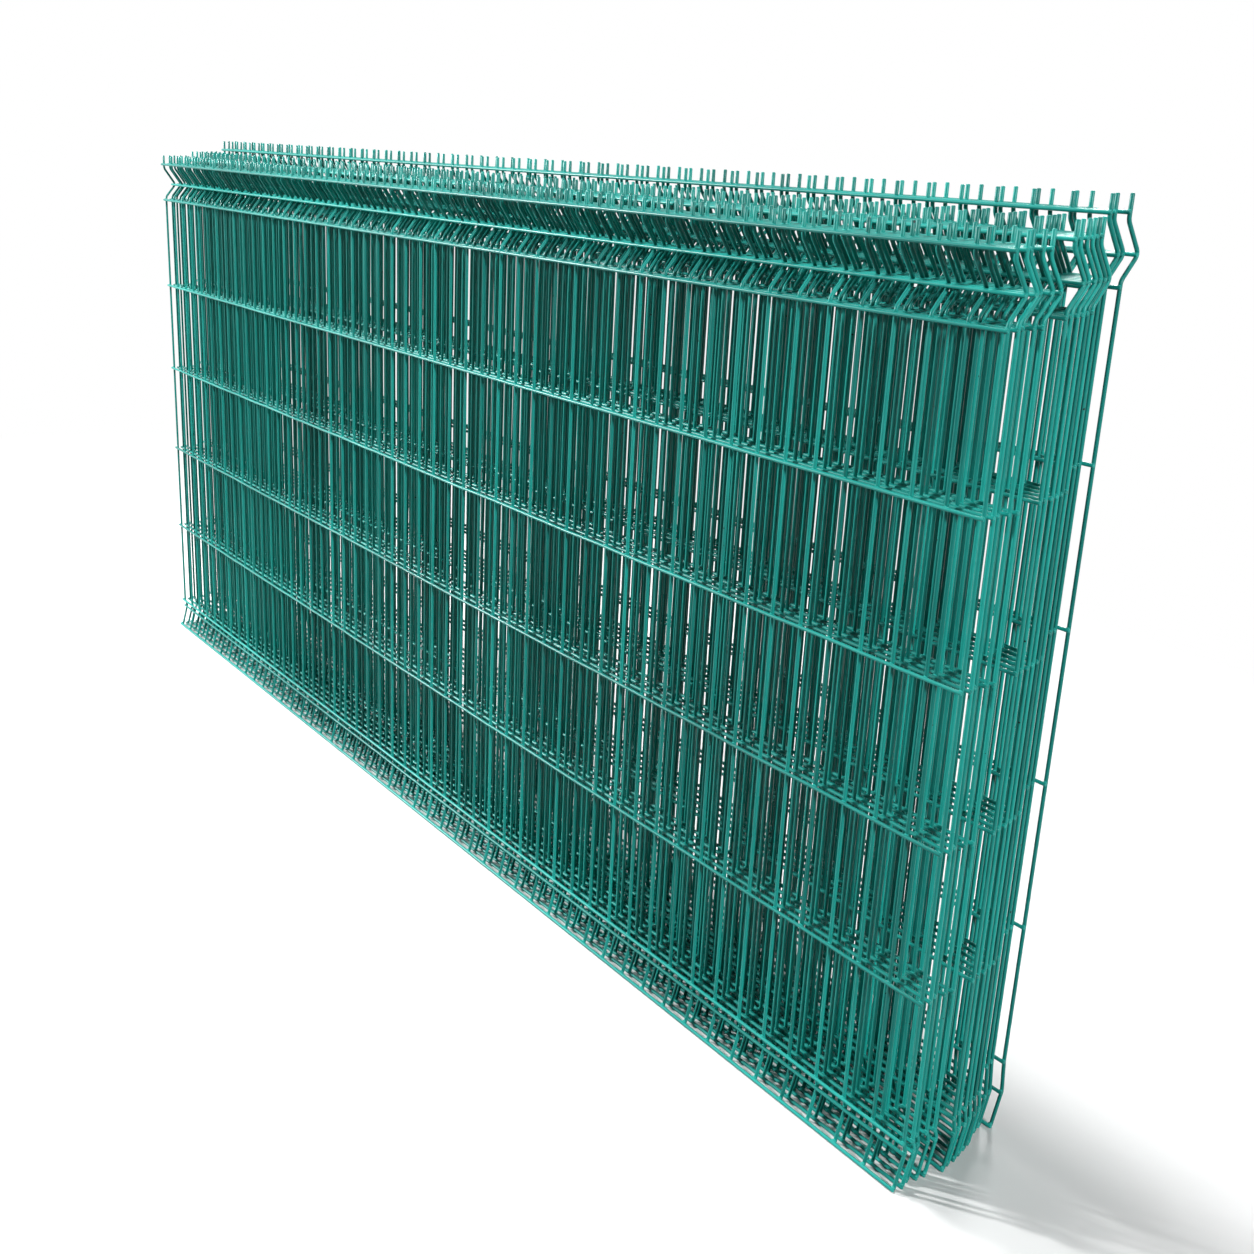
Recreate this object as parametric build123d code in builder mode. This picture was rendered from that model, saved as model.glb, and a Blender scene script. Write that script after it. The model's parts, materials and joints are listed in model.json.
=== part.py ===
from build123d import *
from math import atan2, cos, degrees, tan
import os

# A pack of welded mesh fence panels that stand on their long bottom edges, nested one behind
# the other. The front faces -Y and the pack runs along X. The origin is on the floor, under
# the middle of the pack.

# Wire and grid
wire = 5.0
upright_count = 49
upright_spacing = 50.0
row_spacing = 200.0
row_gap_count = 5
row_overhang = 1.5
weld_set_down = 0.4

# Fold along the top edge: back to the fold line, forward to the top edge wire, then the barbs
shoulder_straight = 7.0
fold_depth = 24.0
fold_lower_rise = 28.0
edge_forward = 2.0
fold_upper_rise = 37.0
edge_straight = 9.0
barb_rise = 20.0

# Kick along the bottom edge: slightly back, then forward to the bottom edge wire
kick_depth = 5.0
foot_forward = 8.0
foot_drop = 48.0
upright_end_gap = 0.8

# Pack: panels per bundle from the front to the back, the height of each bundle's lowest
# strip, how far it fans open at its right end, and how far every panel slips endwise
bundle_sizes = [5, 6, 3]
strip_heights = [17.0, 26.0, 49.0]
bundle_openings = [0.0, 13.0, 0.0]
panel_slips = [0.0, 2.0, -3.0, 0.5, 1.5, 7.0, 3.0, 1.5, -2.5, -6.0, -10.0, -22.0, -26.0, -17.5]
nest_clearance = 0.25
seam_drop = 12.0

# Heights, all measured up from the floor; the upper ones are those of the front bundle
foot_height = wire / 2
kick_height = foot_height + foot_drop
shoulder_height = kick_height + strip_heights[0] + row_gap_count * row_spacing
bend_height = shoulder_height + shoulder_straight
fold_height = bend_height + fold_lower_rise
lip_height = fold_height + fold_upper_rise
edge_height = lip_height + edge_straight
barb_height = edge_height + barb_rise
seam_height = shoulder_height - seam_drop

# How far in front of an upright a straight wire sits, on a flat stretch and in an inner bend
half_wire = wire / 2
row_reach = wire - weld_set_down
lower_slope = atan2(fold_depth, fold_lower_rise)
upper_slope = atan2(fold_depth + edge_forward, fold_upper_rise)
fold_slope = max(lower_slope, upper_slope)
fold_reach = half_wire / cos(fold_slope) + half_wire * tan(fold_slope) + half_wire - weld_set_down
foot_slope = atan2(foot_forward + kick_depth, foot_drop)
kick_slope = max(foot_slope, atan2(kick_depth, min(strip_heights)))
kick_reach = half_wire / cos(kick_slope) + half_wire * tan(kick_slope) + half_wire - weld_set_down

# Panels nest until the fold wire of one meets the outer bend of the one in front
outer_bend = half_wire / cos(fold_slope)
nest_pitch = fold_reach + half_wire + outer_bend + nest_clearance

panel_length = (upright_count - 1) * upright_spacing
row_length = panel_length + wire + 2 * row_overhang

# Upper part of one upright wire, and the straight wires on it, as (depth, height) points
upper_profile = [
    (0.0, seam_height),
    (0.0, bend_height),
    (fold_depth, fold_height),
    (-edge_forward, lip_height),
    (-edge_forward, barb_height),
]
upper_rows = [
    (-row_reach, shoulder_height),
    (fold_depth - fold_reach, fold_height),
    (-edge_forward - row_reach, edge_height),
]


def make_upright(profile):
    """Bend one square upright along its side profile."""
    with BuildPart() as upright:
        with BuildSketch(Plane.YZ):
            with BuildLine():
                Polyline(profile)
            trace(line_width=wire)
        extrude(amount=half_wire, both=True)
    return upright.part


def make_grid(upright_shape, rows):
    """Fuse a row of uprights with the straight wires that cross in front of them."""
    with BuildPart() as grid:
        with GridLocations(upright_spacing, 1, upright_count, 1):
            add(upright_shape)
        with Locations(*[(0, depth, height) for depth, height in rows]):
            Box(row_length, wire, wire)
    return grid.part


def make_mesh(strip_height):
    """Make the flat mesh and kick of a panel whose lowest strip has the given height."""
    rise = strip_height - strip_heights[0]
    lowest_row_height = kick_height + strip_height
    profile = [
        (-foot_forward - foot_height * tan(foot_slope), 0.0),
        (kick_depth, kick_height),
        (0.0, lowest_row_height),
        (0.0, seam_height + rise),
    ]
    rows = [
        (-foot_forward - row_reach, foot_height),
        (kick_depth - kick_reach, kick_height),
    ]
    for row_number in range(row_gap_count):
        rows.append((-row_reach, lowest_row_height + row_number * row_spacing))

    # The lower ends of the uprights are trimmed level, just clear of the floor
    with BuildPart() as upright:
        add(make_upright(profile))
        split(bisect_by=Plane.XY.offset(upright_end_gap), keep=Keep.TOP)
    return make_grid(upright.part, rows)


fold_shape = make_grid(make_upright(upper_profile), upper_rows)

# Where each panel stands. A taller bundle starts further back, because its sloping wires
# would meet those of the bundle in front, and a bundle that fans open turns about its left end
left_end = -row_length / 2
panels = []
turn = 0.0
depth = 0.0
strip_in_front = strip_heights[0]
for size, strip_height, opening in zip(bundle_sizes, strip_heights, bundle_openings):
    mesh_shape = make_mesh(strip_height)
    step = strip_height - strip_in_front
    slope_gap = step * tan(fold_slope) + wire / cos(fold_slope) + nest_clearance - nest_pitch
    depth += max(0.0, slope_gap)
    turn += degrees(atan2(opening, row_length))
    for place in range(size):
        slip = panel_slips[len(panels)]
        spot = Location((left_end, depth, 0), (0, 0, turn)) * Location((slip - left_end, 0, 0))
        raised_spot = spot * Location((0, 0, strip_height - strip_heights[0]))
        panels.append([("mesh", mesh_shape, spot), ("top_fold", fold_shape, raised_spot)])
        depth += nest_pitch
    strip_in_front = strip_height

# Shift that puts the origin under the middle of the whole pack
boxes = [shape.moved(spot).bounding_box() for pieces in panels for name, shape, spot in pieces]
middle_x = (min(box.min.X for box in boxes) + max(box.max.X for box in boxes)) / 2
middle_y = (min(box.min.Y for box in boxes) + max(box.max.Y for box in boxes)) / 2
centring = Location((-middle_x, -middle_y, 0))

os.makedirs("parts", exist_ok=True)
for number, pieces in enumerate(panels, start=1):
    for piece_name, shape, spot in pieces:
        with BuildPart() as piece:
            with Locations(centring * spot):
                add(shape)
        piece.part.label = f"panel_{number:02d}_{piece_name}"
        export_step(piece.part, f"parts/{piece.part.label}.step", write_pcurves=False)
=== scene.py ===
import json
import math

import bpy
from mathutils import Euler, Matrix, Vector

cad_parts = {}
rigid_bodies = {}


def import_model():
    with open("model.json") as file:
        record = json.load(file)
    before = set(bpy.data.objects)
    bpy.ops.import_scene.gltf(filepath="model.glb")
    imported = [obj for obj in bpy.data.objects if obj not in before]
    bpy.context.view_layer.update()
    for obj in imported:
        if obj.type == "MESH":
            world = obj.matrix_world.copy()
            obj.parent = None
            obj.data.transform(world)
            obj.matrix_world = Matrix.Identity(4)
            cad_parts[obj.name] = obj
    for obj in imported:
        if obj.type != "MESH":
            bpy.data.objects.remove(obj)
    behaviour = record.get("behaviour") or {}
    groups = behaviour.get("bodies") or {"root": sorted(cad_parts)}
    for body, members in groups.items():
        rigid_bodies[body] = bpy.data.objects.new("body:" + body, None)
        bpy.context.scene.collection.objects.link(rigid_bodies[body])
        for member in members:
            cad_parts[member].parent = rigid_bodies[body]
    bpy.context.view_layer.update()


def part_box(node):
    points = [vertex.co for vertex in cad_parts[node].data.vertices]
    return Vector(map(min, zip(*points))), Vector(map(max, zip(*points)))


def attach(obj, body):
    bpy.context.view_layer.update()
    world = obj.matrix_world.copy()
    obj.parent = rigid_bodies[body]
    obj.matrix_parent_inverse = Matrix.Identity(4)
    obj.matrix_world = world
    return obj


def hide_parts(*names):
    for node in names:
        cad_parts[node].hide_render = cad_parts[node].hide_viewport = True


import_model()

# A pack of green coated fence panels of welded wire mesh, nested one behind the other. Each
# panel is one piece: bent uprights, straight rows in front of them, and a weld bead at every
# crossing. Lengths are in metres. The pack runs along X and its front faces -Y.

# Wire and grid
WIRE = 0.005
RADIUS = WIRE / 2
WIRE_SIDES = 8
UPRIGHT_COUNT = 49
UPRIGHT_SPACING = 0.050
ROW_SPACING = 0.200
ROW_GAP_COUNT = 5
ROW_OVERHANG = 0.0015
WELD_SET_DOWN = 0.0004

# Fold along the top edge: back to the fold line, forward to the top edge wire, then the barbs
SHOULDER_STRAIGHT = 0.007
FOLD_DEPTH = 0.024
FOLD_LOWER_RISE = 0.028
EDGE_FORWARD = 0.002
FOLD_UPPER_RISE = 0.037
EDGE_STRAIGHT = 0.009
BARB_RISE = 0.020

# Kick along the bottom edge: slightly back, then forward to the bottom edge wire
KICK_DEPTH = 0.005
FOOT_FORWARD = 0.008
FOOT_DROP = 0.048
UPRIGHT_END_GAP = 0.0008

# Bends of an upright, from the bottom up: their radii, the steps in each, the most that a bend
# may take of the straight stretch beside it, and the least way from a bend to an added point
KICK_BEND = 0.012
LOWEST_BEND = 0.020
SHOULDER_BEND = 0.012
FOLD_BEND = 0.009
LIP_BEND = 0.014
BEND_STEPS = 4
BEND_SHARE = 0.48
POINT_MARGIN = 0.01

# A cut wire end is rounded: distance from the tip and thickness, as shares of the radius
CUT_END = [(0.0, 0.62), (0.12, 0.84), (0.45, 1.0)]

# Weld beads: radius as a share of the wire's, facets, and the spread of turn and stretch
BEAD_SIZE = 1.18
BEAD_SEGMENTS = 7
BEAD_RINGS = 4
BEAD_TURN = 0.5
BEAD_STRETCH = 1.25
BEAD_LEAST_SCALE = (0.95, 0.75, 0.95)
BEAD_MOST_SCALE = (1.15, 0.95, BEAD_STRETCH)

# Small faults: the most that an upright is turned about each axis, in radians, and the waver of
# a panel, with its waves per metre, how late it dies away lengthwise, and its step per seed
UPRIGHT_TURN = (0.0004, 0.0006, 0.02)
WAVER = 0.0042
WAVER_RATE = (9.0, 0.0, 3.0)
WAVER_EDGE_POWER = 6.0
WAVER_SEED_STEP = 7.31

# Tints: the spread of tone from wire to wire, from deep to full green
UPRIGHT_TINT = (0.0, 1.0)
ROW_TINT = (0.2, 1.0)
BEAD_TINT = (0.4, 1.0)

# Seeds: a panel's own seed is its number on top of the first, and each draw adds its own
PANEL_SEED = 100
UPRIGHT_TURN_SEED = 11
UPRIGHT_TINT_SEED = 23
ROW_TINT_SEED = 37
BEAD_TURN_SEED = 41
BEAD_SCALE_SEED = 53
BEAD_TINT_SEED = 67

# Pack: panels per bundle from the front to the back, the height of each bundle's lowest strip,
# how far it fans open at its right end, and how far every panel slips endwise
BUNDLE_SIZES = [5, 6, 3]
STRIP_HEIGHTS = [0.017, 0.026, 0.049]
BUNDLE_OPENINGS = [0.0, 0.013, 0.0]
PANEL_SLIPS = [0.0, 0.0020, -0.0030, 0.0005, 0.0015, 0.0070, 0.0030, 0.0015, -0.0025, -0.0060,
               -0.0100, -0.0220, -0.0260, -0.0175]
NEST_CLEARANCE = 0.00025

# Finish, as linear colours
COATING_GREEN = (0.014, 0.370, 0.320, 1)
COATING_DEEP = (0.002, 0.160, 0.138, 1)
# Weld beads: a paler green, partly paler coating and partly a painted highlight at the crossings
WELD_PALE_AND_HIGHLIGHT = (0.05, 0.52, 0.46, 1)
DUST_COLOUR = (0.10, 0.38, 0.32, 1)
SPECK_COLOUR = (0.006, 0.018, 0.016, 1)
DUST_AMOUNT = 0.12
SPECK_SIZE = 0.11
COATING_SPECULAR = 0.22
COATING_BUMP = 0.35
BUMP_DISTANCE = 0.0003

# White surroundings: what the camera sees, and the little that lights the object
WHITE = (1, 1, 1, 1)
SKY_TINT = (0.93, 0.97, 1.0, 1)
SKY_STRENGTH = 0.01
FLOOR_SEEN = (0.9, 0.9, 0.9, 1)
FLOOR_LIGHTING = (0.1, 0.1, 0.1, 1)
FLOOR_ROUGHNESS = 0.9
FLOOR_REACH = 30.0
FLOOR_DROP = 0.0005

# The floor fades to plain white between two distances from the middle, measured in an oval
FADE_SHAPE = (0.55, 1.0, 0.0)
FADE_START = 0.75
FADE_END = 2.0

# Lamps: name, place, diameter and power in watts. All of them point at the middle of the pack
LAMPS = [
    ("right_key", (9.8, -1.2, 3.4), 0.7, 800),
    ("left_key", (-5.4, -4.1, 2.6), 0.5, 820),
    ("top", (-1.0, -0.3, 6.5), 1.0, 330),
    ("back_fill", (-2.2, 5.8, 4.2), 1.2, 260),
]
LAMP_TARGET = (0, 0, 0.6)

# Camera: turn in degrees, and place seen from the middle of the front panel's shoulder
CAMERA_TURN = (72.339, -0.777, 58.328)
CAMERA_FROM_SHOULDER = (2.1674, -1.2594, 0.2050)
CAMERA_LENS = 41.382
CAMERA_SENSOR = 36.0
CAMERA_SHIFT_X = 0.1323
CAMERA_SHIFT_Y = -0.0437
CAMERA_NEAR = 0.01
CAMERA_FAR = 200.0

# Heights above the floor, and how far in front of an upright a row sits: on a flat stretch, in
# the fold and in the kick
FOOT_HEIGHT = WIRE / 2
KICK_HEIGHT = FOOT_HEIGHT + FOOT_DROP
LOWER_SLOPE = math.atan2(FOLD_DEPTH, FOLD_LOWER_RISE)
UPPER_SLOPE = math.atan2(FOLD_DEPTH + EDGE_FORWARD, FOLD_UPPER_RISE)
FOLD_SLOPE = max(LOWER_SLOPE, UPPER_SLOPE)
FOOT_SLOPE = math.atan2(FOOT_FORWARD + KICK_DEPTH, FOOT_DROP)
KICK_SLOPE = max(FOOT_SLOPE, math.atan2(KICK_DEPTH, min(STRIP_HEIGHTS)))
ROW_REACH = WIRE - WELD_SET_DOWN
FOLD_REACH = RADIUS / math.cos(FOLD_SLOPE) + RADIUS * math.tan(FOLD_SLOPE) + RADIUS - WELD_SET_DOWN
KICK_REACH = RADIUS / math.cos(KICK_SLOPE) + RADIUS * math.tan(KICK_SLOPE) + RADIUS - WELD_SET_DOWN

# Panels nest until the fold wire of one meets the outer bend of the one in front
NEST_PITCH = FOLD_REACH + RADIUS + RADIUS / math.cos(FOLD_SLOPE) + NEST_CLEARANCE
ROW_LENGTH = (UPRIGHT_COUNT - 1) * UPRIGHT_SPACING + WIRE + 2 * ROW_OVERHANG

# The middle of the front panel, on the floor under its flat mesh, read from the frame
front_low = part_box("panel_01_mesh")[0]
pack_x = front_low.x + ROW_LENGTH / 2 - PANEL_SLIPS[0]
pack_y = front_low.y + FOOT_FORWARD + ROW_REACH + RADIUS


# Guide lines that the wires follow
def rounded_path(corners, bend_radii):
    """Replace each inner corner of a path by an arc of the given radius."""
    path = [Vector(corners[0])]
    for before, corner, after, bend in zip(corners, corners[1:], corners[2:], bend_radii):
        corner = Vector(corner)
        side_before = Vector(before) - corner
        side_after = Vector(after) - corner
        way_before = side_before.normalized()
        way_after = side_after.normalized()
        half_angle = way_before.angle(way_after) / 2
        most_reach = BEND_SHARE * min(side_before.length, side_after.length)
        reach = min(bend / math.tan(half_angle), most_reach)
        bend = reach * math.tan(half_angle)
        centre = corner + (way_before + way_after).normalized() * (bend / math.sin(half_angle))
        arc_start = corner + way_before * reach - centre
        arc_end = corner + way_after * reach - centre
        sweep = arc_start.angle(arc_end)
        axis = arc_start.cross(arc_end).normalized()
        for step in range(BEND_STEPS + 1):
            turn = Matrix.Rotation(sweep * step / BEND_STEPS, 3, axis)
            path.append(centre + turn @ arc_start)
    path.append(Vector(corners[-1]))
    return path


def split_long_stretch(path, heights):
    """Add points at these heights to the long flat stretch, so that it can waver."""
    finer_path = []
    for point, after in zip(path, path[1:]):
        finer_path.append(point)
        rise = after.z - point.z
        if rise > ROW_SPACING:
            finer_path += [point.lerp(after, (height - point.z) / rise) for height in heights
                           if point.z + POINT_MARGIN < height < after.z - POINT_MARGIN]
    finer_path.append(path[-1])
    return finer_path


def with_rounded_ends(path):
    """Give every point a thickness, and add points that round both cut ends."""
    start_way = (path[1] - path[0]).normalized()
    end_way = (path[-2] - path[-1]).normalized()
    points = [(path[0] + start_way * share * RADIUS, thick) for share, thick in CUT_END]
    points += [(point, 1.0) for point in path[1:-1]]
    points += [(path[-1] + end_way * share * RADIUS, thick) for share, thick in reversed(CUT_END)]
    return points


def guide_object(name, paths):
    """Make a mesh of plain edges that carries a thickness at every point."""
    points = []
    thickness = []
    edges = []
    for path in paths:
        first = len(points)
        for point, thick in path:
            points.append(point)
            thickness.append(thick)
        edges += [(start, start + 1) for start in range(first, len(points) - 1)]
    mesh = bpy.data.meshes.new(name)
    mesh.from_pydata(points, edges, [])
    store = mesh.attributes.new("thickness", "FLOAT", "POINT")
    store.data.foreach_set("value", thickness)
    return bpy.data.objects.new(name, mesh)


def panel_heights(strip):
    """Heights along an upright of a panel whose lowest strip is this high."""
    lowest = KICK_HEIGHT + strip
    bend = lowest + ROW_GAP_COUNT * ROW_SPACING + SHOULDER_STRAIGHT
    fold = bend + FOLD_LOWER_RISE
    lip = fold + FOLD_UPPER_RISE
    edge = lip + EDGE_STRAIGHT
    tip = edge + BARB_RISE
    return {"lowest": lowest, "bend": bend, "fold": fold, "lip": lip, "edge": edge, "tip": tip}


def upright_path(strip):
    """Side line of an upright, from its foot to its barb."""
    height = panel_heights(strip)
    foot_depth = -FOOT_FORWARD - (FOOT_HEIGHT - UPRIGHT_END_GAP) * math.tan(FOOT_SLOPE)
    corners = [
        (0, foot_depth, UPRIGHT_END_GAP),
        (0, KICK_DEPTH, KICK_HEIGHT),
        (0, 0, height["lowest"]),
        (0, 0, height["bend"]),
        (0, FOLD_DEPTH, height["fold"]),
        (0, -EDGE_FORWARD, height["lip"]),
        (0, -EDGE_FORWARD, height["tip"]),
    ]
    bent = rounded_path(corners, [KICK_BEND, LOWEST_BEND, SHOULDER_BEND, FOLD_BEND, LIP_BEND])
    half_gaps = range(1, 2 * ROW_GAP_COUNT)
    added_heights = [height["lowest"] + ROW_SPACING * half_gap / 2 for half_gap in half_gaps]
    return split_long_stretch(bent, added_heights)


def row_places(strip):
    """Depth of each row, depth of the uprights behind it, and its height, from the bottom up."""
    height = panel_heights(strip)
    rows = [
        (-FOOT_FORWARD - ROW_REACH, -FOOT_FORWARD, FOOT_HEIGHT),
        (KICK_DEPTH - KICK_REACH, KICK_DEPTH, KICK_HEIGHT),
    ]
    for number in range(ROW_GAP_COUNT + 1):
        rows.append((-ROW_REACH, 0.0, height["lowest"] + ROW_SPACING * number))
    rows.append((FOLD_DEPTH - FOLD_REACH, FOLD_DEPTH, height["fold"]))
    rows.append((-EDGE_FORWARD - ROW_REACH, -EDGE_FORWARD, height["edge"]))
    return rows


def panel_guides(strip):
    """Guides for the panels of one bundle: an upright, its rows and their crossings."""
    rows = row_places(strip)
    middle = (UPRIGHT_COUNT - 1) / 2
    stations = [UPRIGHT_SPACING * (number - middle) for number in range(UPRIGHT_COUNT)]
    stops = [-ROW_LENGTH / 2] + stations[1:-1] + [ROW_LENGTH / 2]
    row_paths = []
    crossings = []
    # The beads of the bottom row are raised until they clear the floor
    bead_reach = RADIUS * BEAD_SIZE * BEAD_STRETCH
    for depth, upright_depth, height in rows:
        row_paths.append(with_rounded_ends([Vector((x, depth, height)) for x in stops]))
        bead_height = max(height, bead_reach)
        crossings += [(x, (depth + upright_depth) / 2, bead_height) for x in stations]
    crossing_mesh = bpy.data.meshes.new("crossing_guide")
    crossing_mesh.from_pydata(crossings, [], [])
    return (
        guide_object("upright_guide", [with_rounded_ends(upright_path(strip))]),
        guide_object("row_guide", row_paths),
        bpy.data.objects.new("crossing_guide", crossing_mesh),
    )


# Nodes that materials and the panel generator share
def feed(tree, socket, value):
    """Link another node's output to a socket, or set the socket to a plain value."""
    if isinstance(value, bpy.types.NodeSocket):
        tree.links.new(value, socket)
    else:
        socket.default_value = value


def node(tree, kind, **settings):
    """Add a node with the given settings."""
    made = tree.nodes.new(kind)
    for setting, value in settings.items():
        setattr(made, setting, value)
    return made


def calculate(tree, operation, *values, clamp=False):
    """Result of one calculation on numbers or outputs."""
    made = node(tree, "ShaderNodeMath", operation=operation, use_clamp=clamp)
    for socket, value in zip(made.inputs, values):
        feed(tree, socket, value)
    return made.outputs[0]


def vector_node(tree, operation, *values):
    """Add a calculation on vectors."""
    made = node(tree, "ShaderNodeVectorMath", operation=operation)
    for socket, value in zip(made.inputs, values):
        feed(tree, socket, value)
    return made


# Shader nodes
NUMBER = "NodeSocketFloat"
VECTOR = "NodeSocketVector"
COLOUR = "NodeSocketColor"


def mix_colour(tree, factor, first, second):
    """Mix of two colours. A mix node's colour sockets come after those of its other kinds."""
    made = node(tree, "ShaderNodeMix", data_type="RGBA")
    factor_socket, first_socket, second_socket = made.inputs[0], made.inputs[6], made.inputs[7]
    feed(tree, factor_socket, factor)
    feed(tree, first_socket, first)
    feed(tree, second_socket, second)
    return made.outputs[2]


def noise(tree, coordinates, scale, detail, roughness=0.5):
    """Plain noise, with its scale in patches per metre."""
    made = node(tree, "ShaderNodeTexNoise")
    feed(tree, made.inputs["Vector"], coordinates)
    feed(tree, made.inputs["Scale"], scale)
    feed(tree, made.inputs["Detail"], detail)
    feed(tree, made.inputs["Roughness"], roughness)
    return made.outputs[0]


def remap(tree, value, low, high, to_low=0.0, to_high=1.0):
    """Value between two limits, moved to lie between two others."""
    made = node(tree, "ShaderNodeMapRange")
    for socket, number in zip(made.inputs, (value, low, high, to_low, to_high)):
        feed(tree, socket, number)
    return made.outputs[0]


def mix_shader(tree, factor, first, second):
    """Mix of two shaders."""
    made = node(tree, "ShaderNodeMixShader")
    for socket, value in zip(made.inputs, (factor, first.outputs[0], second.outputs[0])):
        feed(tree, socket, value)
    return made.outputs[0]


def seen_rays(tree):
    """One for rays that show the background: from the camera, off gloss and through glass."""
    rays = node(tree, "ShaderNodeLightPath")
    indirect = calculate(tree, "MAXIMUM", rays.outputs["Is Glossy Ray"],
                         rays.outputs["Is Transmission Ray"])
    return calculate(tree, "MAXIMUM", rays.outputs["Is Camera Ray"], indirect)


def effect_group(name, inputs, outputs):
    """Start a shader node group, and return it with its inputs and its output node."""
    tree = bpy.data.node_groups.new(name, "ShaderNodeTree")
    for label, kind in inputs.items():
        tree.interface.new_socket(label, in_out="INPUT", socket_type=kind)
    for label, kind in outputs.items():
        tree.interface.new_socket(label, in_out="OUTPUT", socket_type=kind)
    given = tree.nodes.new("NodeGroupInput").outputs
    return tree, given, tree.nodes.new("NodeGroupOutput").inputs


def use_effect(tree, effect, **values):
    """Place an effect group in a material with its own values."""
    made = node(tree, "ShaderNodeGroup", node_tree=effect)
    for label, value in values.items():
        feed(tree, made.inputs[label], value)
    return made.outputs


# The coating, one effect at a time
def coating_tone():
    """Colour: a slow drift along the wires, a tint for each wire, and paler weld beads whose
    paleness is partly a painted highlight.
    """
    tree, given, result = effect_group(
        "coating_tone",
        {"Coordinates": VECTOR, "Tint": NUMBER, "Weld": NUMBER,
         "Base": COLOUR, "Deep": COLOUR, "Pale": COLOUR},
        {"Color": COLOUR, "Drift": NUMBER})
    drift_weight = 0.7
    tint_weight = 0.45
    drift = noise(tree, given["Coordinates"], scale=3.0, detail=4.0, roughness=0.6)
    weighted_drift = calculate(tree, "MULTIPLY", drift, drift_weight)
    weighted_tint = calculate(tree, "MULTIPLY", given["Tint"], tint_weight)
    step = remap(tree, calculate(tree, "ADD", weighted_drift, weighted_tint), low=0.35, high=0.85)
    tone = mix_colour(tree, step, given["Deep"], given["Base"])
    # Weld beads turn a speckled pale green: partly paler coating, partly a painted highlight
    spatter = noise(tree, given["Coordinates"], scale=420.0, detail=2.0)
    paleness_and_highlight = remap(tree, spatter, low=0.35, high=0.7, to_low=0.15, to_high=0.6)
    weld_pale_and_highlight_mask = calculate(tree, "MULTIPLY", given["Weld"], paleness_and_highlight)
    feed(tree, result["Color"], mix_colour(tree, weld_pale_and_highlight_mask, tone, given["Pale"]))
    feed(tree, result["Drift"], drift)
    return tree


def coating_dust():
    """Dust: a thin film that gathers in patches."""
    tree, given, result = effect_group(
        "coating_dust", {"Coordinates": VECTOR, "Amount": NUMBER}, {"Mask": NUMBER})
    patches = noise(tree, given["Coordinates"], scale=7.0, detail=5.0, roughness=0.65)
    grains = noise(tree, given["Coordinates"], scale=900.0, detail=2.0, roughness=0.7)
    patch_mask = remap(tree, patches, low=0.48, high=0.75)
    grain_mask = remap(tree, grains, low=0.3, high=0.7, to_low=0.4)
    film = calculate(tree, "MULTIPLY", patch_mask, grain_mask)
    feed(tree, result["Mask"], calculate(tree, "MULTIPLY", film, given["Amount"], clamp=True))
    return tree


def coating_specks():
    """Specks: sparse dark pinholes and chips."""
    tree, given, result = effect_group(
        "coating_specks", {"Coordinates": VECTOR, "Size": NUMBER}, {"Mask": NUMBER})
    specks_per_metre = 75.0
    cells = node(tree, "ShaderNodeTexVoronoi", feature="F1")
    feed(tree, cells.inputs["Vector"], given["Coordinates"])
    feed(tree, cells.inputs["Scale"], specks_per_metre)
    clusters = noise(tree, given["Coordinates"], scale=22.0, detail=2.0)
    size = calculate(tree, "MULTIPLY", given["Size"], remap(tree, clusters, low=0.52, high=0.7))
    feed(tree, result["Mask"], calculate(tree, "LESS_THAN", cells.outputs["Distance"], size))
    return tree


def coating_height():
    """Surface height: a fine peel over soft lumps, rough weld beads and sunken specks."""
    tree, given, result = effect_group(
        "coating_height", {"Coordinates": VECTOR, "Weld": NUMBER, "Speck": NUMBER},
        {"Height": NUMBER})
    peel_weight = 0.35
    lump_weight = 0.65
    speck_depth = 0.8
    peel = noise(tree, given["Coordinates"], scale=260.0, detail=3.0, roughness=0.55)
    lumps = noise(tree, given["Coordinates"], scale=110.0, detail=2.0)
    spatter = noise(tree, given["Coordinates"], scale=700.0, detail=2.0)
    weighted_peel = calculate(tree, "MULTIPLY", peel, peel_weight)
    weighted_lumps = calculate(tree, "MULTIPLY", lumps, lump_weight)
    weld_height = calculate(tree, "MULTIPLY", given["Weld"], spatter)
    sunk = calculate(tree, "MULTIPLY", given["Speck"], speck_depth)
    height = calculate(tree, "ADD", weighted_peel, weighted_lumps)
    height = calculate(tree, "ADD", height, weld_height)
    feed(tree, result["Height"], calculate(tree, "SUBTRACT", height, sunk))
    return tree


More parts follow.
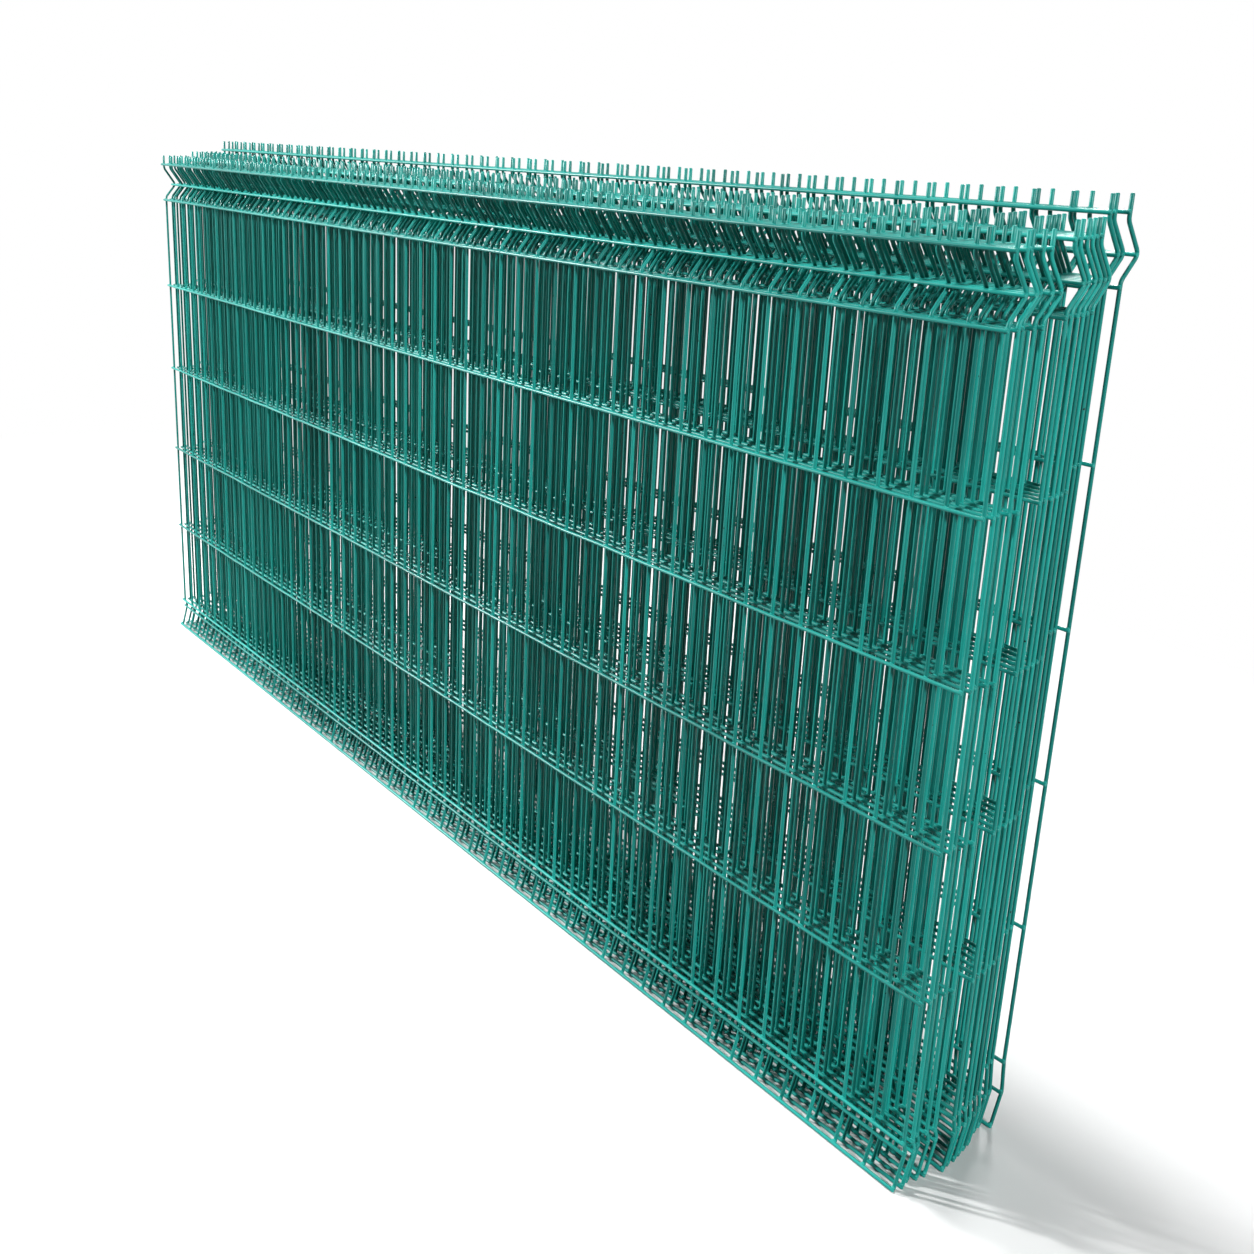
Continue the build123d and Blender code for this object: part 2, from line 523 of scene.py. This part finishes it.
def green_coating():
    """Material of all the wires: a dipped green coating, a little dusty and speckled."""
    material = bpy.data.materials.new("green_coating")
    material.use_nodes = True
    tree = material.node_tree
    shader = tree.nodes["Principled BSDF"]
    place = node(tree, "ShaderNodeTexCoord").outputs["Object"]
    tint = node(tree, "ShaderNodeAttribute", attribute_name="wire_tint").outputs["Fac"]
    weld = node(tree, "ShaderNodeAttribute", attribute_name="weld_bead").outputs["Fac"]
    # The pale weld colour given here is partly a painted highlight on the beads
    tone = use_effect(tree, coating_tone(), Coordinates=place, Tint=tint, Weld=weld,
                      Base=COATING_GREEN, Deep=COATING_DEEP, Pale=WELD_PALE_AND_HIGHLIGHT)
    dust = use_effect(tree, coating_dust(), Coordinates=place, Amount=DUST_AMOUNT)
    specks = use_effect(tree, coating_specks(), Coordinates=place, Size=SPECK_SIZE)
    relief = use_effect(tree, coating_height(), Coordinates=place, Weld=weld, Speck=specks["Mask"])

    dusty = mix_colour(tree, dust["Mask"], tone["Color"], DUST_COLOUR)
    speckled = mix_colour(tree, specks["Mask"], dusty, SPECK_COLOUR)
    feed(tree, shader.inputs["Base Color"], speckled)

    dust_roughness = 0.5
    gloss = remap(tree, tone["Drift"], low=0.3, high=0.7, to_low=0.24, to_high=0.36)
    dulling = calculate(tree, "MULTIPLY", dust["Mask"], dust_roughness)
    feed(tree, shader.inputs["Roughness"], calculate(tree, "ADD", gloss, dulling, clamp=True))
    shader.inputs["Specular IOR Level"].default_value = COATING_SPECULAR

    bump = node(tree, "ShaderNodeBump")
    feed(tree, bump.inputs["Strength"], COATING_BUMP)
    feed(tree, bump.inputs["Distance"], BUMP_DISTANCE)
    feed(tree, bump.inputs["Height"], relief["Height"])
    feed(tree, shader.inputs["Normal"], bump.outputs["Normal"])
    return material


# The panel generator, a Geometry Nodes tree with one function for each kind of wire
def wire_tube(tree, given, guide):
    """Turn guide edges into round wires whose thickness follows the guide."""
    curve = node(tree, "GeometryNodeMeshToCurve")
    feed(tree, curve.inputs["Mesh"], guide)
    circle = node(tree, "GeometryNodeCurvePrimitiveCircle", mode="RADIUS")
    feed(tree, circle.inputs["Resolution"], WIRE_SIDES)
    feed(tree, circle.inputs["Radius"], given["Wire radius"])
    thickness = node(tree, "GeometryNodeInputNamedAttribute", data_type="FLOAT")
    feed(tree, thickness.inputs["Name"], "thickness")
    tube = node(tree, "GeometryNodeCurveToMesh")
    feed(tree, tube.inputs["Curve"], curve.outputs[0])
    feed(tree, tube.inputs["Profile Curve"], circle.outputs["Curve"])
    feed(tree, tube.inputs["Scale"], thickness.outputs["Attribute"])
    feed(tree, tube.inputs["Fill Caps"], True)
    return tube.outputs[0]


def stored(tree, geometry, name, value, domain):
    """Store a number on the geometry for the material to read."""
    made = node(tree, "GeometryNodeStoreNamedAttribute", data_type="FLOAT", domain=domain)
    feed(tree, made.inputs["Geometry"], geometry)
    feed(tree, made.inputs["Name"], name)
    feed(tree, made.inputs["Value"], value)
    return made.outputs[0]


def random_value(tree, given, low, high, draw_seed, identity=None):
    """Random number or vector between two limits. The sockets of each kind share their names."""
    if isinstance(low, tuple):
        kind, low_socket, high_socket, result = "FLOAT_VECTOR", 0, 1, 0
    else:
        kind, low_socket, high_socket, result = "FLOAT", 2, 3, 1
    draw = node(tree, "FunctionNodeRandomValue", data_type=kind)
    feed(tree, draw.inputs[low_socket], low)
    feed(tree, draw.inputs[high_socket], high)
    feed(tree, draw.inputs["Seed"], calculate(tree, "ADD", given["Seed"], draw_seed))
    if identity is not None:
        feed(tree, draw.inputs["ID"], identity)
    return draw.outputs[result]


def upright_wires(tree, given):
    """One bent wire set out along the panel, each copy turned by a hair."""
    gap_count = calculate(tree, "SUBTRACT", given["Upright count"], 1)
    half_step_back = calculate(tree, "MULTIPLY", given["Upright spacing"], -0.5)
    start = node(tree, "ShaderNodeCombineXYZ")
    feed(tree, start.inputs["X"], calculate(tree, "MULTIPLY", gap_count, half_step_back))
    step = node(tree, "ShaderNodeCombineXYZ")
    feed(tree, step.inputs["X"], given["Upright spacing"])
    line = node(tree, "GeometryNodeMeshLine", mode="OFFSET")
    feed(tree, line.inputs["Count"], given["Upright count"])
    feed(tree, line.inputs["Start Location"], start.outputs[0])
    feed(tree, line.inputs["Offset"], step.outputs[0])
    least_turn = tuple(-turn for turn in UPRIGHT_TURN)
    uprights = node(tree, "GeometryNodeInstanceOnPoints")
    feed(tree, uprights.inputs["Points"], line.outputs[0])
    feed(tree, uprights.inputs["Instance"], wire_tube(tree, given, given["Geometry"]))
    feed(tree, uprights.inputs["Rotation"],
         random_value(tree, given, least_turn, UPRIGHT_TURN, UPRIGHT_TURN_SEED))
    tint = random_value(tree, given, *UPRIGHT_TINT, UPRIGHT_TINT_SEED)
    return stored(tree, uprights.outputs[0], "wire_tint", tint, "INSTANCE")


def row_wires(tree, given):
    """The straight wires in front of the uprights, each with one tint from end to end."""
    guide = node(tree, "GeometryNodeObjectInfo", transform_space="ORIGINAL")
    feed(tree, guide.inputs["Object"], given["Row guide"])
    rows = wire_tube(tree, given, guide.outputs["Geometry"])
    island = node(tree, "GeometryNodeInputMeshIsland").outputs["Island Index"]
    tint = random_value(tree, given, *ROW_TINT, ROW_TINT_SEED, island)
    return stored(tree, rows, "wire_tint", tint, "POINT")


def weld_beads(tree, given):
    """A small uneven bead at every crossing."""
    guide = node(tree, "GeometryNodeObjectInfo", transform_space="ORIGINAL")
    feed(tree, guide.inputs["Object"], given["Crossing guide"])
    bead = node(tree, "GeometryNodeMeshUVSphere")
    feed(tree, bead.inputs["Segments"], BEAD_SEGMENTS)
    feed(tree, bead.inputs["Rings"], BEAD_RINGS)
    bead_radius = calculate(tree, "MULTIPLY", given["Wire radius"], BEAD_SIZE)
    feed(tree, bead.inputs["Radius"], bead_radius)
    least_turn = (-BEAD_TURN, -BEAD_TURN, -BEAD_TURN)
    most_turn = (BEAD_TURN, BEAD_TURN, BEAD_TURN)
    beads = node(tree, "GeometryNodeInstanceOnPoints")
    feed(tree, beads.inputs["Points"], guide.outputs["Geometry"])
    feed(tree, beads.inputs["Instance"], bead.outputs["Mesh"])
    feed(tree, beads.inputs["Rotation"],
         random_value(tree, given, least_turn, most_turn, BEAD_TURN_SEED))
    feed(tree, beads.inputs["Scale"],
         random_value(tree, given, BEAD_LEAST_SCALE, BEAD_MOST_SCALE, BEAD_SCALE_SEED))
    marked = stored(tree, beads.outputs[0], "weld_bead", 1.0, "INSTANCE")
    tint = random_value(tree, given, *BEAD_TINT, BEAD_TINT_SEED)
    return stored(tree, marked, "wire_tint", tint, "INSTANCE")


def wavered(tree, given, geometry):
    """Bend the whole panel a little by one slow field, which dies away at its outline."""
    position = node(tree, "GeometryNodeInputPosition").outputs[0]
    axes = node(tree, "ShaderNodeSeparateXYZ")
    feed(tree, axes.inputs[0], position)

    # Upwards the waver is full at mid height, where the product of the two shares is a quarter
    scale_to_full = 4.0
    share_up = calculate(tree, "DIVIDE", axes.outputs["Z"], given["Panel height"])
    share_down = calculate(tree, "SUBTRACT", 1.0, share_up)
    product = calculate(tree, "MULTIPLY", share_up, share_down)
    scaled_product = calculate(tree, "MULTIPLY", product, scale_to_full)
    height_mask = calculate(tree, "MAXIMUM", scaled_product, 0.0)

    # Lengthwise it stays full until near the two ends
    half_length = calculate(tree, "MULTIPLY", given["Panel length"], 0.5)
    distance = calculate(tree, "ABSOLUTE", axes.outputs["X"])
    share_out = calculate(tree, "DIVIDE", distance, half_length)
    fade = calculate(tree, "POWER", share_out, WAVER_EDGE_POWER)
    end_mask = calculate(tree, "MAXIMUM", calculate(tree, "SUBTRACT", 1.0, fade), 0.0)
    mask = calculate(tree, "MULTIPLY", height_mask, end_mask)

    field = node(tree, "ShaderNodeTexNoise", noise_dimensions="4D")
    stretched = vector_node(tree, "MULTIPLY", position, WAVER_RATE)
    feed(tree, field.inputs["Vector"], stretched.outputs[0])
    feed(tree, field.inputs["W"], calculate(tree, "MULTIPLY", given["Seed"], WAVER_SEED_STEP))
    feed(tree, field.inputs["Scale"], 1.0)
    feed(tree, field.inputs["Detail"], 1.0)
    noise_middle = (0.5, 0.5, 0.5)
    centred = vector_node(tree, "SUBTRACT", field.outputs["Color"], noise_middle)
    offset = vector_node(tree, "SCALE", centred.outputs[0])
    feed(tree, offset.inputs["Scale"], calculate(tree, "MULTIPLY", mask, given["Waver"]))
    moved = node(tree, "GeometryNodeSetPosition")
    feed(tree, moved.inputs["Geometry"], geometry)
    feed(tree, moved.inputs["Offset"], offset.outputs[0])
    return moved.outputs[0]


def panel_generator():
    """Tree that makes a whole panel on an object whose mesh is the upright's guide."""
    tree = bpy.data.node_groups.new("welded_panel", "GeometryNodeTree")
    inputs = {
        "Geometry": "NodeSocketGeometry",
        "Row guide": "NodeSocketObject",
        "Crossing guide": "NodeSocketObject",
        "Upright count": "NodeSocketInt",
        "Upright spacing": "NodeSocketFloat",
        "Wire radius": "NodeSocketFloat",
        "Waver": "NodeSocketFloat",
        "Panel height": "NodeSocketFloat",
        "Panel length": "NodeSocketFloat",
        "Seed": "NodeSocketInt",
        "Coating": "NodeSocketMaterial",
    }
    for label, kind in inputs.items():
        tree.interface.new_socket(label, in_out="INPUT", socket_type=kind)
    tree.interface.new_socket("Geometry", in_out="OUTPUT", socket_type="NodeSocketGeometry")
    given = tree.nodes.new("NodeGroupInput").outputs
    result = tree.nodes.new("NodeGroupOutput")

    joined = node(tree, "GeometryNodeJoinGeometry")
    for part in (weld_beads(tree, given), row_wires(tree, given), upright_wires(tree, given)):
        feed(tree, joined.inputs[0], part)
    realized = node(tree, "GeometryNodeRealizeInstances")
    feed(tree, realized.inputs[0], joined.outputs[0])
    smooth = node(tree, "GeometryNodeSetShadeSmooth")
    feed(tree, smooth.inputs[0], wavered(tree, given, realized.outputs[0]))
    painted = node(tree, "GeometryNodeSetMaterial")
    feed(tree, painted.inputs["Geometry"], smooth.outputs[0])
    feed(tree, painted.inputs["Material"], given["Coating"])
    feed(tree, result.inputs["Geometry"], painted.outputs[0])
    return tree


def build_panel(name, seed, strip, guides, generator, coating):
    """Run the generator once and keep its result as a plain mesh object."""
    scene_objects = bpy.context.scene.collection.objects
    upright_guide, row_guide, crossing_guide = guides
    source = bpy.data.objects.new(name + "_source", upright_guide.data)
    scene_objects.link(source)
    modifier = source.modifiers.new("welded_panel", "NODES")
    modifier.node_group = generator
    values = {
        "Row guide": row_guide,
        "Crossing guide": crossing_guide,
        "Upright count": UPRIGHT_COUNT,
        "Upright spacing": UPRIGHT_SPACING,
        "Wire radius": RADIUS,
        "Waver": WAVER,
        "Panel height": panel_heights(strip)["tip"],
        "Panel length": ROW_LENGTH,
        "Seed": seed,
        "Coating": coating,
    }
    for socket in generator.interface.items_tree:
        if socket.in_out == "INPUT" and socket.name in values:
            modifier[socket.identifier] = values[socket.name]
    graph = bpy.context.evaluated_depsgraph_get()
    mesh = bpy.data.meshes.new_from_object(source.evaluated_get(graph), depsgraph=graph)
    bpy.data.objects.remove(source)
    mesh.name = name
    panel = bpy.data.objects.new(name, mesh)
    scene_objects.link(panel)
    return panel


def build_pack():
    """Build every panel at its place in the pack."""
    generator = panel_generator()
    coating = green_coating()
    left_end = -ROW_LENGTH / 2
    turn = 0.0
    depth = 0.0
    number = 0
    strip_in_front = STRIP_HEIGHTS[0]
    for size, strip, opening in zip(BUNDLE_SIZES, STRIP_HEIGHTS, BUNDLE_OPENINGS):
        guides = panel_guides(strip)
        for guide in guides:
            bpy.context.scene.collection.objects.link(guide)
        # A taller bundle starts further back, and one that fans open turns about its left end
        step = strip - strip_in_front
        slope_gap = step * math.tan(FOLD_SLOPE) + WIRE / math.cos(FOLD_SLOPE) + NEST_CLEARANCE
        depth += max(0.0, slope_gap - NEST_PITCH)
        turn += math.atan2(opening, ROW_LENGTH)
        for slip in PANEL_SLIPS[number:number + size]:
            number += 1
            name = f"wire_panel_{number:02d}"
            panel = build_panel(name, PANEL_SEED + number, strip, guides, generator, coating)
            spot = Matrix.Translation((pack_x + left_end, pack_y + depth, 0))
            spot = spot @ Matrix.Rotation(turn, 4, "Z")
            spot = spot @ Matrix.Translation((slip - left_end, 0, 0))
            panel.data.transform(spot)
            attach(panel, "root")
            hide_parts(f"panel_{number:02d}_mesh", f"panel_{number:02d}_top_fold")
            depth += NEST_PITCH
        for guide in guides:
            bpy.data.objects.remove(guide)
        strip_in_front = strip


# Stage, light and camera
def white_world():
    """World that looks white and gives the object hardly any light."""
    world = bpy.data.worlds.new("studio")
    world.use_nodes = True
    tree = world.node_tree
    tree.nodes.clear()
    lighting = node(tree, "ShaderNodeBackground")
    feed(tree, lighting.inputs["Color"], SKY_TINT)
    feed(tree, lighting.inputs["Strength"], SKY_STRENGTH)
    seen = node(tree, "ShaderNodeBackground")
    feed(tree, seen.inputs["Color"], WHITE)
    feed(tree, seen.inputs["Strength"], 1.0)
    surface = node(tree, "ShaderNodeOutputWorld").inputs["Surface"]
    feed(tree, surface, mix_shader(tree, seen_rays(tree), lighting, seen))
    return world


def floor_material():
    """Pale floor that keeps the shadow near the pack and turns into plain white further out."""
    material = bpy.data.materials.new("floor_white")
    material.use_nodes = True
    tree = material.node_tree
    seen = seen_rays(tree)
    near = tree.nodes["Principled BSDF"]
    feed(tree, near.inputs["Base Color"], mix_colour(tree, seen, FLOOR_LIGHTING, FLOOR_SEEN))
    near.inputs["Roughness"].default_value = FLOOR_ROUGHNESS
    near.inputs["Specular IOR Level"].default_value = 0.0
    far = node(tree, "ShaderNodeEmission")
    feed(tree, far.inputs["Color"], WHITE)
    place = node(tree, "ShaderNodeTexCoord").outputs["Object"]
    shaped = vector_node(tree, "MULTIPLY", place, FADE_SHAPE)
    distance = vector_node(tree, "LENGTH", shaped.outputs[0])
    fade = remap(tree, distance.outputs["Value"], low=FADE_START, high=FADE_END)
    far_share = calculate(tree, "MULTIPLY", seen, fade)
    surface = tree.nodes["Material Output"].inputs["Surface"]
    feed(tree, surface, mix_shader(tree, far_share, near, far))
    return material


def lay_floor(scene):
    """Lay a wide square floor just under the pack."""
    sides = (-FLOOR_REACH, FLOOR_REACH)
    corners = [(x, y, -FLOOR_DROP) for x in sides for y in sides]
    mesh = bpy.data.meshes.new("floor")
    mesh.from_pydata(corners, [], [(0, 2, 3, 1)])
    mesh.materials.append(floor_material())
    floor = bpy.data.objects.new("floor", mesh)
    scene.collection.objects.link(floor)


def hang_lamps(scene):
    """Hang the soft round lamps."""
    for name, place, diameter, power in LAMPS:
        lamp = bpy.data.lights.new(name, "AREA")
        lamp.shape = "DISK"
        lamp.size = diameter
        lamp.energy = power
        holder = bpy.data.objects.new(name, lamp)
        holder.location = place
        holder.rotation_mode = "QUATERNION"
        way = Vector(LAMP_TARGET) - Vector(place)
        holder.rotation_quaternion = way.to_track_quat("-Z", "Y")
        scene.collection.objects.link(holder)


def place_camera(scene):
    """Set up the camera that gives the photograph's view."""
    camera_data = bpy.data.cameras.new("camera")
    camera_data.sensor_width = CAMERA_SENSOR
    camera_data.lens = CAMERA_LENS
    camera_data.shift_x = CAMERA_SHIFT_X
    camera_data.shift_y = CAMERA_SHIFT_Y
    camera_data.clip_start = CAMERA_NEAR
    camera_data.clip_end = CAMERA_FAR
    camera = bpy.data.objects.new("camera", camera_data)
    scene.collection.objects.link(camera)
    shoulder_height = KICK_HEIGHT + STRIP_HEIGHTS[0] + ROW_GAP_COUNT * ROW_SPACING
    shoulder = Vector((pack_x, pack_y, shoulder_height))
    turn = Euler([math.radians(angle) for angle in CAMERA_TURN]).to_matrix().to_4x4()
    camera.matrix_world = Matrix.Translation(shoulder + Vector(CAMERA_FROM_SHOULDER)) @ turn
    scene.camera = camera


build_pack()

scene = bpy.context.scene
scene.view_settings.view_transform = "Standard"
scene.world = white_world()
lay_floor(scene)
hang_lamps(scene)
place_camera(scene)
